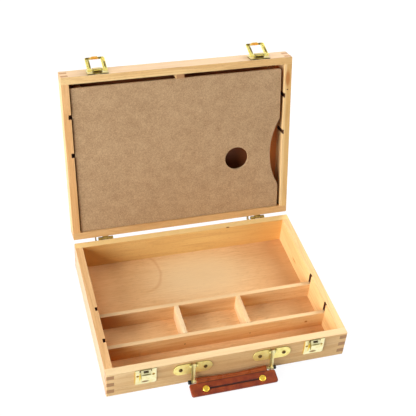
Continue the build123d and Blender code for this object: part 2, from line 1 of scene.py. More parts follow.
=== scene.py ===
# %% [markdown]
# # Dressing a pochade box
# A pochade box is a painter's travelling case: a shallow tray with dividers for tubes and brushes,
# and a lid that stands open and holds the palette. Its measured model comes from the CAD source and
# is loaded first, as a frame that nothing here moves. The work in Blender is the looks: what each
# wood, metal and leather is, the soft grip, the light and the camera.

# %% Load the measured model
from math import cos, pi, radians, sin

import bpy
from mathutils import Matrix, Vector


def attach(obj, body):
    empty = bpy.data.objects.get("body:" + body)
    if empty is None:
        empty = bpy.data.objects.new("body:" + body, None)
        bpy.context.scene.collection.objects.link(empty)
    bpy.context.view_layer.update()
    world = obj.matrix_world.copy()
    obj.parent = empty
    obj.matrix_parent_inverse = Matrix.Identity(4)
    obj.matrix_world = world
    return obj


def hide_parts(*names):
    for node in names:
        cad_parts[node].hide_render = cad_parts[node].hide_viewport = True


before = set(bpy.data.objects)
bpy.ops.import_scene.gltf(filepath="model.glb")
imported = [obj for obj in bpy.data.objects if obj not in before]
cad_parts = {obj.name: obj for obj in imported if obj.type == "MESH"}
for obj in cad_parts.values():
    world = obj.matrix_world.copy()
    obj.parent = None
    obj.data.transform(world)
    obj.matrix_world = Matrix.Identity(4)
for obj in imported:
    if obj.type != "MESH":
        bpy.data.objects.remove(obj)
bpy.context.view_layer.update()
print("CAD nodes:", len(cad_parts))

# %% [markdown]
# ## Helpers for every finish
# Paint and stain colours are usually written as hex codes, as a screen shows them. Cycles counts in
# linear light, so one function turns a code into linear numbers. A second one adds a single shader
# node with its settings, and either fills its inputs or links them. With just these, each material
# below reads like a recipe.

# %% Colour and node helpers
MM = 0.001
X, Y, Z = 0, 1, 2
FACTOR, LOWER, UPPER, MIXED = 0, 6, 7, 2    # sockets of a colour mix


def colour(code):
    """A hex colour as the linear numbers that the shaders use."""
    parts = [int(code[i:i + 2], 16) / 255 for i in (1, 3, 5)]
    return [p / 12.92 if p <= 0.04045 else ((p + 0.055) / 1.055) ** 2.4 for p in parts] + [1.0]


def node(material, kind, inputs=None, **settings):
    """Adds one node to a material, with its settings, and fills or links its inputs."""
    made = material.node_tree.nodes.new(kind)
    for name, value in settings.items():
        setattr(made, name, value)
    for socket, value in (inputs or {}).items():
        if isinstance(value, bpy.types.NodeSocket):
            material.node_tree.links.new(value, made.inputs[socket])
        else:
            made.inputs[socket].default_value = value
    return made


print("beech as it is written and as it is lit:", [round(v, 3) for v in colour("#F0C894")])

# %% Start and use of a material
def blank(name):
    """A material with an empty node tree."""
    material = bpy.data.materials.new(name)
    material.use_nodes = True
    material.node_tree.nodes.clear()
    return material


def dress(finish, *names):
    """Gives CAD nodes their finish."""
    for name in names:
        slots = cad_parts[name].material_slots
        assert len(slots), name
        for place in slots:
            place.material = finish
    print(finish.name, "goes on", ", ".join(names))


print("slots on a CAD node:", len(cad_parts["base_front_wall"].material_slots))

# %% [markdown]
# ## Where a finish sits on a board
# A board's grain must follow the board, so each pattern is laid out in millimetres along and across
# it. The lid's boards stand open at 104.3 degrees: their patterns are turned back to the shut box
# first. Boards that run from front to back get a quarter turn more. Every board has its own place
# in the endless pattern, because no two boards come from the same spot of a tree.

# %% Board coordinates
LID_TURN = radians(104.3)
HINGE = Vector((0.0, 146.1, 50.2))          # millimetres


def shut_place(material, point, in_lid):
    """Object coordinates in millimetres, with the lid turned back onto the base."""
    turn = LID_TURN if in_lid else 0.0
    slide = HINGE - Matrix.Rotation(turn, 3, "X") @ HINGE
    return node(material, "ShaderNodeMapping", {
        "Vector": point, "Location": slide, "Rotation": (turn, 0, 0), "Scale": (1000, 1000, 1000),
    }).outputs[0]


def along_grain(material, place, grain, offset):
    """Turns a board's millimetres so that X runs along its grain."""
    turn = {"x": (0, 0, 0), "y": (0, 0, -pi / 2), "z": (0, pi / 2, 0)}[grain]
    return node(material, "ShaderNodeMapping", {
        "Vector": place, "Rotation": turn, "Location": offset,
    }).outputs[0]


def stretched(material, vector, length, width):
    """Makes one step of a pattern this many millimetres long and wide."""
    return node(material, "ShaderNodeVectorMath", {
        0: vector, 1: (1 / length, 1 / width, 1 / width),
    }, operation="MULTIPLY").outputs[0]


print("the lid's patterns are turned back by", round(LID_TURN, 4), "rad")

# %% [markdown]
# ## Beech, planed and clear lacquered
# The walls and dividers are steamed beech: pale pinkish straw, with soft growth bands some 15 mm
# apart that close into long pointed arches, hair-thin streaks, and short darker flecks. Each of
# these is a noise drawn out along the grain. The arches are the contour lines of the broadest one,
# which is how a flat cut through a tree's rings makes them too. Lacquer is smooth and thin, so the
# gloss is low and follows the streaks, which also give the bump.

# %% Growth bands, arches, streaks and flecks
def growth(m, board, pale, deep, bands, arches, late_wood, flecks, streaks):
    """Colour of the planed face, and its two noises: the broad bands and the fine streaks."""
    broad = node(m, "ShaderNodeTexNoise", {
        "Vector": stretched(m, board, *bands), "Scale": 1.0, "Detail": 2.0, "Distortion": 0.3,
    }).outputs[0]
    streak_length, streak_width, streak_weight = streaks
    streak = node(m, "ShaderNodeTexNoise", {
        "Vector": stretched(m, board, streak_length, streak_width), "Scale": 1.0, "Detail": 3.0,
        "Roughness": 0.6,
    }).outputs[0]
    tone = node(m, "ShaderNodeMath", {
        0: broad, 1: 1 - streak_weight,
    }, operation="MULTIPLY").outputs[0]
    tone = node(m, "ShaderNodeMath", {
        0: streak, 1: streak_weight, 2: tone,
    }, operation="MULTIPLY_ADD").outputs[0]
    tone = node(m, "ShaderNodeMapRange", {
        "Value": tone, "From Min": 0.32, "From Max": 0.62,
    }).outputs[0]
    wood = node(m, "ShaderNodeMix", {
        FACTOR: tone, LOWER: colour(deep), UPPER: colour(pale),
    }, data_type="RGBA").outputs[MIXED]

    # Contour lines of the broad bands: late wood, a little darker.
    wave = node(m, "ShaderNodeMath", {
        0: broad, 1: 2 * pi * arches,
    }, operation="MULTIPLY").outputs[0]
    wave = node(m, "ShaderNodeMath", {0: wave}, operation="SINE").outputs[0]
    late = node(m, "ShaderNodeMapRange", {
        "Value": wave, "From Min": 0.35, "From Max": 1.0, "To Max": late_wood,
    }).outputs[0]
    wood = node(m, "ShaderNodeMix", {
        FACTOR: late, LOWER: wood, UPPER: colour("#C68B50"),
    }, data_type="RGBA").outputs[MIXED]

    fleck_length, fleck_width, fleck_strength = flecks
    fleck = node(m, "ShaderNodeTexNoise", {
        "Vector": stretched(m, board, fleck_length, fleck_width), "Scale": 1.0, "Detail": 1.0,
    }).outputs[0]
    fleck = node(m, "ShaderNodeMapRange", {
        "Value": fleck, "From Min": 0.58, "From Max": 0.75, "To Max": fleck_strength,
    }).outputs[0]
    wood = node(m, "ShaderNodeMix", {
        FACTOR: fleck, LOWER: wood, UPPER: colour("#B9814C"),
    }, data_type="RGBA").outputs[MIXED]
    return wood, broad, streak


print("late wood and flecks:", [round(v, 2) for v in colour("#C68B50")[:3] + colour("#B9814C")[:3]])

# %% [markdown]
# ### Painted shade behind the palette
# Behind the palette, inside the lid, the wood is painted dark brown as painted shade. It is kept to
# the inside of the lid by the places of its inner faces. Near the hollow in the palette's right
# edge, where light gets in, the panel's brown is painted warmer and paler as painted light.

# %% Painted shade behind the palette
INNER_SIDE, INNER_END = 178.5, 131.0        # half the lid's inside, half a millimetre deeper
SHADE_FROM, SHADE_FULL = 54.0, 58.0           # heights on the shut box where the painted shade starts and is full
PANEL_INSIDE = 81.2                         # just under the lid panel's outer face
LIGHT_FROM, LIGHT_FULL = 140.0, 162.0       # painted light, towards the palette's hollow


def behind_palette(m, spread, streak, wood, shade_tones):
    """Painted shade, two browns, behind the palette; a third tone paints light near its hollow."""
    painted_shade = node(m, "ShaderNodeMapRange", {
        "Value": spread.outputs[Z], "From Min": SHADE_FROM, "From Max": SHADE_FULL, "To Max": 0.85,
    }).outputs[0]
    for side, reach in ((X, INNER_SIDE), (Y, INNER_END)):
        inside = node(m, "ShaderNodeMath", {
            0: spread.outputs[side], 1: 0.0, 2: reach,
        }, operation="COMPARE").outputs[0]
        painted_shade = node(m, "ShaderNodeMath", {
            0: painted_shade, 1: inside,
        }, operation="MULTIPLY").outputs[0]
    shallow = node(m, "ShaderNodeMath", {
        0: spread.outputs[Z], 1: PANEL_INSIDE,
    }, operation="LESS_THAN").outputs[0]
    painted_shade = node(m, "ShaderNodeMath", {0: painted_shade, 1: shallow}, operation="MULTIPLY").outputs[0]
    brown = node(m, "ShaderNodeMix", {
        FACTOR: streak, LOWER: colour(shade_tones[0]), UPPER: colour(shade_tones[1]),
    }, data_type="RGBA").outputs[MIXED]
    if len(shade_tones) == 3:
        painted_light = node(m, "ShaderNodeMapRange", {
            "Value": spread.outputs[X], "From Min": LIGHT_FROM, "From Max": LIGHT_FULL,
            "To Max": 0.85,
        }, interpolation_type="SMOOTHSTEP").outputs[0]
        brown = node(m, "ShaderNodeMix", {
            FACTOR: painted_light, LOWER: brown, UPPER: colour(shade_tones[2]),
        }, data_type="RGBA").outputs[MIXED]
    return node(m, "ShaderNodeMix", {
        FACTOR: painted_shade, LOWER: wood, UPPER: brown,
    }, data_type="RGBA").outputs[MIXED]


print("the brown wood starts", SHADE_FROM, "mm up on the shut box")

# %% [markdown]
# ### Painted light and shade, and knots
# Painted shade darkens the wood where shadow falls, as in the left corners of the compartments, and
# tones down faces that the lamps light strongly; painted light makes rims paler. Such a change runs
# along one axis of the box, so one smooth step says where it starts and ends. A knot is a small
# ball of darker wood that the surface happens to cut: a soft ball, flattened as its three radii
# say, is mixed in at its place.

# %% Painted light and shade, and knots
def toned(m, spread, wood, painted_shading):
    """Painted light and shade: (axis, start, end, colour, share) on the shut box, in millimetres.
    """
    for axis, start, full, tint, share in painted_shading:
        change = node(m, "ShaderNodeMapRange", {
            "Value": spread.outputs[axis], "From Min": start, "From Max": full, "To Max": share,
        }, interpolation_type="SMOOTHSTEP").outputs[0]
        wood = node(m, "ShaderNodeMix", {
            FACTOR: change, LOWER: wood, UPPER: colour(tint),
        }, data_type="RGBA").outputs[MIXED]
    return wood


def opened(point):
    """Where a place on the shut lid is with the lid open, in millimetres."""
    return Matrix.Rotation(-LID_TURN, 3, "X") @ (Vector(point) - HINGE) + HINGE


def knotted(m, point, wood, knots, in_lid):
    """knots: (place on the shut box, radii, colour), in millimetres."""
    for centre, radii, tint in knots:
        middle = opened(centre) if in_lid else Vector(centre)
        ball = node(m, "ShaderNodeMapping", {
            "Vector": point, "Location": middle * MM,
            "Rotation": (-LID_TURN if in_lid else 0.0, 0, 0), "Scale": [r * MM for r in radii],
        }, vector_type="TEXTURE").outputs[0]
        core = node(m, "ShaderNodeTexGradient", {"Vector": ball}, gradient_type="SPHERICAL")
        core = node(m, "ShaderNodeMapRange", {
            "Value": core.outputs[0], "From Max": 0.6,
        }, interpolation_type="SMOOTHSTEP").outputs[0]
        wood = node(m, "ShaderNodeMix", {
            FACTOR: core, LOWER: wood, UPPER: colour(tint),
        }, data_type="RGBA").outputs[MIXED]
    return wood


print("the lid's front rim, opened:", [round(v, 1) for v in opened((0, -142.5, 50.4))])

# %% [markdown]
# ### Cut ends, and painted shade in the grooves
# Where a board is cut across, at the fingers of the corner joints, the open pores drink lacquer and
# the wood turns brown. The surface faces along the board there, so its normal tells where to put
# it. Inside the dividers' grooves the wood is painted dark brown as painted shade.

# %% End grain
PORES = "#C99C6E"                           # the paler wood between the brown pores
PORE_STEPS = 0.9                            # per millimetre, coarse enough to show


def end_grain(m, normal, board, wood, grain, end, in_lid):
    """Brown, porous wood wherever the surface faces along the board."""
    facing = node(m, "ShaderNodeMapping", {
        "Vector": normal, "Rotation": (LID_TURN if in_lid else 0.0, 0, 0),
    }, vector_type="VECTOR").outputs[0]
    facing = node(m, "ShaderNodeSeparateXYZ", {"Vector": facing})
    across = node(m, "ShaderNodeMath", {
        0: facing.outputs["xyz".index(grain)],
    }, operation="ABSOLUTE").outputs[0]
    across = node(m, "ShaderNodeMapRange", {
        "Value": across, "From Min": 0.7, "From Max": 0.9,
    }).outputs[0]
    pores = node(m, "ShaderNodeTexNoise", {
        "Vector": board, "Scale": PORE_STEPS, "Detail": 3.0, "Roughness": 0.7,
    }).outputs[0]
    cut = node(m, "ShaderNodeMix", {
        FACTOR: pores, LOWER: colour(end), UPPER: colour(PORES),
    }, data_type="RGBA").outputs[MIXED]
    return node(m, "ShaderNodeMix", {
        FACTOR: across, LOWER: wood, UPPER: cut,
    }, data_type="RGBA").outputs[MIXED]


print("wood between the pores:", [round(v, 2) for v in colour(PORES)[:3]])

# %% Painted shade in the grooves
GROOVES = (-11.0, -76.5)                    # their middles, from the box's middle
GROOVE_REACH = 3.75                         # a quarter of a millimetre past half their width
INNER_FACE, OUTER_FACE = 178.0, 190.0       # of the side walls
LEFT_GROOVE, RIGHT_GROOVE = -4.2, 1.8       # depths, towards the outside


def shade_grooves(m, spread, wood, depth):
    """Painted shade in the two grooves of a side wall. depth: theirs, with its direction."""
    side = -1 if depth < 0 else 1
    sunk = node(m, "ShaderNodeMath", {
        0: spread.outputs[X], 1: side * INNER_FACE + depth / 2 + side * 0.1, 2: abs(depth) / 2,
    }, operation="COMPARE").outputs[0]
    for groove in GROOVES:
        near = node(m, "ShaderNodeMath", {
            0: spread.outputs[Y], 1: groove, 2: GROOVE_REACH,
        }, operation="COMPARE").outputs[0]
        groove_shadow = node(m, "ShaderNodeMath", {0: near, 1: sunk}, operation="MULTIPLY").outputs[0]
        wood = node(m, "ShaderNodeMix", {
            FACTOR: groove_shadow, LOWER: wood, UPPER: colour("#4E2512"),
        }, data_type="RGBA").outputs[MIXED]
    return wood


print("grooves", [abs(depth) for depth in (LEFT_GROOVE, RIGHT_GROOVE)], "mm deep, left and right")

# %% [markdown]
# ### The whole board
# The layers go on in this order: what grew, a veneer's marks, the painted shade behind the palette,
# painted light and shade, the knots, the cut ends, and painted shade in the grooves. Each board
# then only says how it differs from the others.

# %% Beech
PALE, DEEP, END = "#F9D496", "#E5B370", "#AE7A4C"   # of a common board, and its cut ends


def beech(name, grain, offset, in_lid=False, pale=PALE, deep=DEEP, end=END,
          bands=(260, 17), arches=7, late_wood=0.2, flecks=(6.0, 0.8, 0.28),
          streaks=(75, 1.9, 0.38), figure=None, painted_shading=(), knots=(), shaded_grooves=0,
          shade_tones=("#8E4616", "#C4742E")):
    """Lacquered beech for one board. bands: length and width; flecks and streaks: length, width
    and strength; figure: a function that adds a veneer's ring and a pool of painted light."""
    m = blank(name)
    at = node(m, "ShaderNodeTexCoord")
    place = shut_place(m, at.outputs["Object"], in_lid)
    spread = node(m, "ShaderNodeSeparateXYZ", {"Vector": place})
    board = along_grain(m, place, grain, offset)
    wood, broad, streak = growth(m, board, pale, deep, bands, arches, late_wood, flecks, streaks)
    if figure:
        wood = figure(m, place, broad, wood)
    if in_lid:
        wood = behind_palette(m, spread, streak, wood, shade_tones)
    wood = toned(m, spread, wood, painted_shading)
    wood = knotted(m, at.outputs["Object"], wood, knots, in_lid)
    wood = end_grain(m, at.outputs["Normal"], board, wood, grain, end, in_lid)
    if shaded_grooves:
        wood = shade_grooves(m, spread, wood, shaded_grooves)
    sheen = node(m, "ShaderNodeMapRange", {
        "Value": streak, "To Min": 0.42, "To Max": 0.56,
    }).outputs[0]
    relief = node(m, "ShaderNodeBump", {
        "Height": streak, "Strength": 0.25, "Distance": 0.08 * MM,
    }).outputs[0]
    shader = node(m, "ShaderNodeBsdfPrincipled", {
        "Base Color": wood, "Roughness": sheen, "Normal": relief, "IOR": 1.5,
        "Specular IOR Level": 0.3,
    })
    node(m, "ShaderNodeOutputMaterial", {"Surface": shader.outputs[0]})
    return m


for tint in (PALE, DEEP, END):
    print("a common board's", tint, "is lit as", [round(v, 2) for v in colour(tint)[:3]])

# %% Beech on the base's walls
CATCHES = (-131.0, 135.4)                   # middles of the two catches
FRONT_FACE = -142.5

# Painted shade: the wood behind the catches' small windows is painted dark, for the shade there.
window_shade = [((x, FRONT_FACE, 45.2), (13, 5, 4.0), "#340A02") for x in CATCHES]
# Painted light makes the front wall's rim paler.
dress(beech("beech_front_wall", "x", (0, 0, 0), pale="#F9D69E", deep="#E5B576",
            painted_shading=[(Z, 49.2, 49.9, "#FFE4B4", 0.55)], knots=window_shade),
      "base_front_wall")
# Painted shade on both ends and the outer face of the back wall; painted light on its rim.
dress(beech("beech_back_wall", "x", (900, 40, 10), pale="#FFDA8E", deep="#F2C078", late_wood=0.12,
            painted_shading=[(X, 40, 170, "#E8AC58", 0.5), (X, -90, -175, "#D08A34", 0.55),
                    (Z, 49.2, 50.1, "#FFDC98", 0.9), (Y, 142.0, 142.4, "#DDB384", 0.6)],
            knots=[((76.4, 130.4, 50), (4.0, 1.6, 2.2), "#7A3F1C")]),
      "base_back_wall")
# Painted shade tones down the outer faces of both side walls.
dress(beech("beech_left_wall", "y", (300, 90, 50), pale="#F9CB90", deep="#E3A86C",
            painted_shading=[(X, -OUTER_FACE + 0.5, -OUTER_FACE + 0.1, "#D5B79B", 0.6)],
            shaded_grooves=LEFT_GROOVE),
      "base_left_wall")
dress(beech("beech_right_wall", "y", (1400, 130, 70), pale="#FDD798", deep="#EEBE7E",
            painted_shading=[(X, OUTER_FACE - 0.5, OUTER_FACE - 0.1, "#DFB787", 0.6)],
            knots=[((178, 58, 18), (2, 11, 2.2), "#C98A3C")], shaded_grooves=RIGHT_GROOVE),
      "base_right_wall")

# %% Beech dividers
CORNER = "#A65C18"                          # painted shade in the left corners of the compartments
# Painted shade on the dividers' left ends and the front divider's foot; painted light on their
# tops.
dress(beech("beech_rear_divider", "x", (2100, 60, 20), pale="#F9D6A2", deep="#E5B57C",
            painted_shading=[(X, -112, -175, CORNER, 0.85), (Z, 31.2, 31.8, "#F6D09C", 0.85)]),
      "rear_divider")
dress(beech("beech_front_divider", "x", (2700, 20, 90), pale="#F7DDA9", deep="#E4BC82",
            painted_shading=[(X, -120, -175, CORNER, 0.8), (Z, 24, 4, "#C8782C", 0.5),
                    (Z, 31.2, 31.8, "#F4CE9A", 0.85)],
            knots=[((148.3, -80, 18.2), (3.4, 2, 2.6), "#B5763C"),
                   ((-53.5, -80, 14.0), (1.8, 2, 1.5), "#7D4A26"),
                   ((53.7, -80, 13.5), (1.6, 2, 1.3), "#8C5530")]),
      "front_divider")
for side, offset in (("left", (3300, 10, 40)), ("right", (3900, 70, 30))):
    dress(beech("beech_short_divider_" + side, "y", offset, pale="#FFE2B6", deep="#F6CE98"),
          "short_divider_" + side)

# %% Beech in the lid
# Painted shade tones down the outer face of the lid's front wall.
dress(beech("beech_lid_front_wall", "x", (150, 210, 30), in_lid=True,
            painted_shading=[(Y, -141.8, -142.4, "#D9BB9F", 0.6)]),
      "lid_front_wall")
dress(beech("beech_lid_back_wall", "x", (1050, 250, 60), in_lid=True,
            pale="#EABE84", deep="#D6A264"),
      "lid_back_wall")
dress(beech("beech_lid_left_wall", "y", (450, 300, 80), in_lid=True,
            pale="#F6C68B", deep="#E2A867", shaded_grooves=LEFT_GROOVE),
      "lid_left_wall")
# Painted light makes the inner edge of the lid's right rim paler.
dress(beech("beech_lid_right_wall", "y", (1550, 340, 20), in_lid=True,
            pale="#F1C884", deep="#DEA962", painted_shading=[(X, 183, 180.5, "#FAD89E", 0.75)],
            knots=[((183.5, -106, 50), (5.5, 19, 6), "#C98648"),
                   ((183.6, -86.5, 50), (1.9, 1.6, 2), "#6B3518")], shaded_grooves=RIGHT_GROOVE),
      "lid_right_wall")
dress(beech("beech_spacer", "z", (60, 400, 60), in_lid=True, shade_tones=("#E2B274", "#F2CC94")),
      "lid_spacer_block")
dress(beech("beech_palette_rests", "z", (90, 430, 10), in_lid=True),
      *["palette_rest_" + corner for corner in ("front_left", "front_right",
                                                "back_left", "back_right")])

# %% [markdown]
# ## Plywood floor and lid panel
# The floor is thin plywood. Its face veneer is peeled from a log like paper from a roll, so its
# bands are wide and wander, and it looks pinker and smoother than the solid boards. A pale pool of
# painted light lies in the middle of the floor, and one growth ring shows there as an arc. So both
# boards keep the beech recipe, with broader bands, and the floor gets those two marks.

# %% Painted light and a growth ring on the veneer
LIGHT_POOL = ((10, 75, 3), (130, 85, 9))       # middle and radii of the painted light, in millimetres
RING = ((-88, 98, 3), (37, 46, 9))


def peeled(m, place, broad, wood):
    """A pale pool of painted light and one half ring of growth, both ellipses on the floor."""
    patch = node(m, "ShaderNodeMapping", {
        "Vector": place, "Location": LIGHT_POOL[0], "Scale": LIGHT_POOL[1],
    }, vector_type="TEXTURE").outputs[0]
    away = node(m, "ShaderNodeVectorMath", {0: patch}, operation="LENGTH").outputs["Value"]
    share = node(m, "ShaderNodeMapRange", {
        "Value": away, "From Min": 0.2, "From Max": 1.0, "To Min": 0.75, "To Max": 0.0,
    }, interpolation_type="SMOOTHSTEP").outputs[0]
    wood = node(m, "ShaderNodeMix", {
        FACTOR: share, LOWER: wood, UPPER: colour("#FFDFAC"),
    }, data_type="RGBA").outputs[MIXED]

    ring = node(m, "ShaderNodeMapping", {
        "Vector": place, "Location": RING[0], "Scale": RING[1],
    }, vector_type="TEXTURE").outputs[0]
    away = node(m, "ShaderNodeVectorMath", {0: ring}, operation="LENGTH").outputs["Value"]
    away = node(m, "ShaderNodeMath", {
        0: broad, 1: 0.3, 2: away,
    }, operation="MULTIPLY_ADD").outputs[0]
    away = node(m, "ShaderNodeMath", {0: away, 1: 1.15}, operation="SUBTRACT").outputs[0]
    away = node(m, "ShaderNodeMath", {0: away}, operation="ABSOLUTE").outputs[0]
    line = node(m, "ShaderNodeMapRange", {
        "Value": away, "From Max": 0.1, "To Min": 0.3, "To Max": 0.0,
    }).outputs[0]
    half = node(m, "ShaderNodeSeparateXYZ", {"Vector": ring}).outputs[X]
    half = node(m, "ShaderNodeMapRange", {
        "Value": half, "From Min": -0.3, "From Max": 0.4,
    }).outputs[0]
    share = node(m, "ShaderNodeMath", {0: line, 1: half}, operation="MULTIPLY").outputs[0]
    return node(m, "ShaderNodeMix", {
        FACTOR: share, LOWER: wood, UPPER: colour("#D08040"),
    }, data_type="RGBA").outputs[MIXED]


print("the ring bulges to x =", RING[0][X] + RING[1][X], "mm")

# %% Plywood
VENEER = {"bands": (180, 30), "arches": 9, "late_wood": 0.1, "end": "#A87850"}
# Painted shade darkens both ends of the floor and its front, by the brush compartment.
dress(beech("plywood_floor", "x", (0, 700, 0), pale="#FBD098", deep="#E8B47A",
            flecks=(9.0, 1.4, 0.4), streaks=(30, 2.4, 0.66), figure=peeled,
            painted_shading=[(X, 60, 150, "#CE9660", 0.55), (X, -30, -160, "#F0B678", 0.55),
                    (Y, -84, -96, "#D0904E", 0.6)], **VENEER),
      "base_floor")
# Painted shade on the panel behind the palette, and painted light near the palette's hollow.
dress(beech("plywood_lid_panel", "x", (500, 900, 0), in_lid=True, pale="#E6BC8E", deep="#CE9A6A",
            shade_tones=("#702C06", "#A04810", "#E88430"), **VENEER),
      "lid_panel")

# %% [markdown]
# ## Hardboard palette
# The palette is a bare board of pressed wood fibre. It has no grain: short pale and dark fibres lie
# felted in all directions, over a faint mottle of a centimetre or so, and the surface is quite
# matt. The fibres are finer than a picture of the whole box can show, so they are drawn a little
# coarser. A few dark specks of bark are left in the pulp.

# %% Hardboard
hardboard = blank("hardboard_pressed_fibre")
at = node(hardboard, "ShaderNodeTexCoord")
place = shut_place(hardboard, at.outputs["Object"], True)
mottle = node(hardboard, "ShaderNodeTexNoise", {
    "Vector": place, "Scale": 1 / 15, "Detail": 2.0,
}).outputs[0]
fibres = node(hardboard, "ShaderNodeTexNoise", {
    "Vector": place, "Scale": 1 / 2.2, "Detail": 5.0, "Roughness": 0.85, "Distortion": 0.6,
}).outputs[0]
tone = node(hardboard, "ShaderNodeMath", {0: mottle, 1: 0.17}, operation="MULTIPLY").outputs[0]
tone = node(hardboard, "ShaderNodeMath", {
    0: fibres, 1: 0.83, 2: tone,
}, operation="MULTIPLY_ADD").outputs[0]
tone = node(hardboard, "ShaderNodeMapRange", {
    "Value": tone, "From Min": 0.38, "From Max": 0.62,
}).outputs[0]
felt = node(hardboard, "ShaderNodeMix", {
    FACTOR: tone, LOWER: colour("#A6835C"), UPPER: colour("#D2B087"),
}, data_type="RGBA").outputs[MIXED]
specks = node(hardboard, "ShaderNodeTexVoronoi", {"Vector": place, "Scale": 1 / 14}).outputs[0]
specks = node(hardboard, "ShaderNodeMapRange", {
    "Value": specks, "From Min": 0.035, "From Max": 0.06, "To Min": 0.5, "To Max": 0.0,
}).outputs[0]
felt = node(hardboard, "ShaderNodeMix", {
    FACTOR: specks, LOWER: felt, UPPER: colour("#7C5436"),
}, data_type="RGBA").outputs[MIXED]
relief = node(hardboard, "ShaderNodeBump", {
    "Height": fibres, "Strength": 0.35, "Distance": 0.12 * MM,
}).outputs[0]
shader = node(hardboard, "ShaderNodeBsdfPrincipled", {
    "Base Color": felt, "Roughness": 0.78, "Normal": relief, "IOR": 1.45,
})
node(hardboard, "ShaderNodeOutputMaterial", {"Surface": shader.outputs[0]})
dress(hardboard, "palette")

# %% [markdown]
# ## Brass plated steel
# Hinges, latches, catches and the handle's plates are pressed from thin steel and brass plated, a
# pale lemon gold under clear lacquer. Plating is bright but not a mirror: it follows the rolled
# sheet, with soft clouds where the lacquer is thinner. A metal's colour is in its reflection, so
# the base colour is pale and the picture of the room does the rest. Where the lacquer is thick, as
# on the bails and straps, it scatters light like paint and hides part of the metal's sheen. Edges,
# folds, grooves and the shadows under raised parts are painted olive and brown as painted shade,
# and sides that face the left lamp are painted gold as painted highlights.

# %% Painted shade on edges, and painted light and shade in spots
EDGE_SHADE = "#7E6A24"


def shade_edges(m, normal, metal, turn):
    """Painted shade in olive on a plate's edges. turn: how far the plate is turned from upright."""
    facing = node(m, "ShaderNodeMapping", {
        "Vector": normal, "Rotation": (turn, 0, 0),
    }, vector_type="VECTOR").outputs[0]
    facing = node(m, "ShaderNodeSeparateXYZ", {"Vector": facing})
    flat = node(m, "ShaderNodeMath", {0: facing.outputs[Y]}, operation="ABSOLUTE").outputs[0]
    edge = node(m, "ShaderNodeMapRange", {
        "Value": flat, "From Min": 0.25, "From Max": 0.6, "To Min": 0.75, "To Max": 0.0,
    }).outputs[0]
    return node(m, "ShaderNodeMix", {
        FACTOR: edge, LOWER: metal, UPPER: colour(EDGE_SHADE),
    }, data_type="RGBA").outputs[MIXED]


def light_and_shade_spots(m, point, metal, spots):
    """Painted light and shade; spots: (place, radii, colour) in mm, where the part is at rest."""
    for centre, radii, tint in spots:
        spot = node(m, "ShaderNodeMapping", {
            "Vector": point, "Location": Vector(centre) * MM, "Scale": [r * MM for r in radii],
        }, vector_type="TEXTURE").outputs[0]
        spot = node(m, "ShaderNodeTexGradient", {"Vector": spot}, gradient_type="SPHERICAL")
        spot = node(m, "ShaderNodeMapRange", {
            "Value": spot.outputs[0], "From Max": 0.45, "To Max": 0.85,
        }).outputs[0]
        metal = node(m, "ShaderNodeMix", {
            FACTOR: spot, LOWER: metal, UPPER: colour(tint),
        }, data_type="RGBA").outputs[MIXED]
    return metal


print("a sheared edge is lit as", [round(v, 2) for v in colour(EDGE_SHADE)[:3]])

# %% Brass
THIN_LACQUER = 0.14                         # how much rougher the duller patches are
ROLLED = 1.5                                # millimetres between the waves of rolled sheet


def plated(name, bright, dull, rough, cloud=6.0, sheared=None, spots=(), metallic=1.0):
    """Plated metal. cloud: size of its duller patches; sheared: how far a cut plate is turned;
    metallic: less where a thick lacquer hides the sheen."""
    m = blank(name)
    at = node(m, "ShaderNodeTexCoord")
    patches = node(m, "ShaderNodeTexNoise", {
        "Vector": at.outputs["Object"], "Scale": 1000 / cloud, "Detail": 3.0,
    }).outputs[0]
    patches = node(m, "ShaderNodeMapRange", {
        "Value": patches, "From Min": 0.4, "From Max": 0.7,
    }).outputs[0]
    metal = node(m, "ShaderNodeMix", {
        FACTOR: patches, LOWER: colour(bright), UPPER: colour(dull),
    }, data_type="RGBA").outputs[MIXED]
    if sheared is not None:
        metal = shade_edges(m, at.outputs["Normal"], metal, sheared)
    metal = light_and_shade_spots(m, at.outputs["Object"], metal, spots)
    sheen = node(m, "ShaderNodeMapRange", {
        "Value": patches, "To Min": rough, "To Max": rough + THIN_LACQUER,
    }).outputs[0]
    rolled = node(m, "ShaderNodeTexNoise", {
        "Vector": at.outputs["Object"], "Scale": 1000 / ROLLED, "Detail": 2.0,
    }).outputs[0]
    relief = node(m, "ShaderNodeBump", {
        "Height": rolled, "Strength": 0.12, "Distance": 0.03 * MM,
    }).outputs[0]
    shader = node(m, "ShaderNodeBsdfPrincipled", {
        "Base Color": metal, "Metallic": metallic, "Roughness": sheen, "Normal": relief,
    })
    node(m, "ShaderNodeOutputMaterial", {"Surface": shader.outputs[0]})
    return m


print("plating is", THIN_LACQUER, "rougher where its lacquer is thin")

# %% Places of the painted light and shade
STRAPS = (-58.4, 66.6)                      # middles of the handle's straps
OLIVE = "#7A6414"
catch_lines = [((x + aside, y, z), radii, tint) for x in CATCHES
               for aside, y, z, radii, tint in (
    (0.0, -149.0, 44.2, (8.6, 3.0, 1.3), "#8C7E38"),        # painted shade along the fold under the window
    (-0.5, -143.7, 22.6, (7.0, 1.6, 2.5), "#7E4C04"),       # painted shadow at the foot of the raised boss
    (-8.6, -144.6, 33.0, (1.7, 4.0, 11.0), "#F2D030"),      # painted highlight on its left side
    (-16.4, -143.6, 34.0, (1.8, 3.0, 20.0), "#EEC23C"),     # painted highlight on the left edge of the plate
)]
